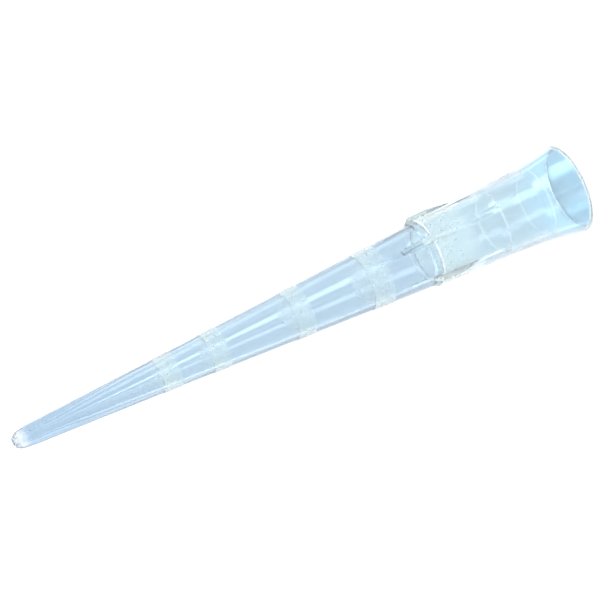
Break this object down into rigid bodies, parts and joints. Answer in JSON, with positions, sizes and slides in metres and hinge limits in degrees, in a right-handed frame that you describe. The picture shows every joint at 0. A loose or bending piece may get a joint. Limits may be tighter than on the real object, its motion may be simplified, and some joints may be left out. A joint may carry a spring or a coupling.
{
  "type": "pipette tip",
  "caption": "Clear tapered laboratory pipette tip with a flared mouth, finned collar, frosted graduation bands and a fine open end.",
  "frame": {"origin": "centre of the rim of the mouth, in the plane that the tip stands on", "axes": "+Z along the tip's axis, from the mouth to the fine end; +X through one fin of the collar"},
  "size_m": [0.0074, 0.0074, 0.051],
  "materials": {
    "clear_polypropylene": "clear, faintly blue, polished by the mould; graduation bands and lower collar frosted"
  },
  "bodies": {
    "root": {"pipette_tip": "clear_polypropylene"}
  },
  "joints": []
}
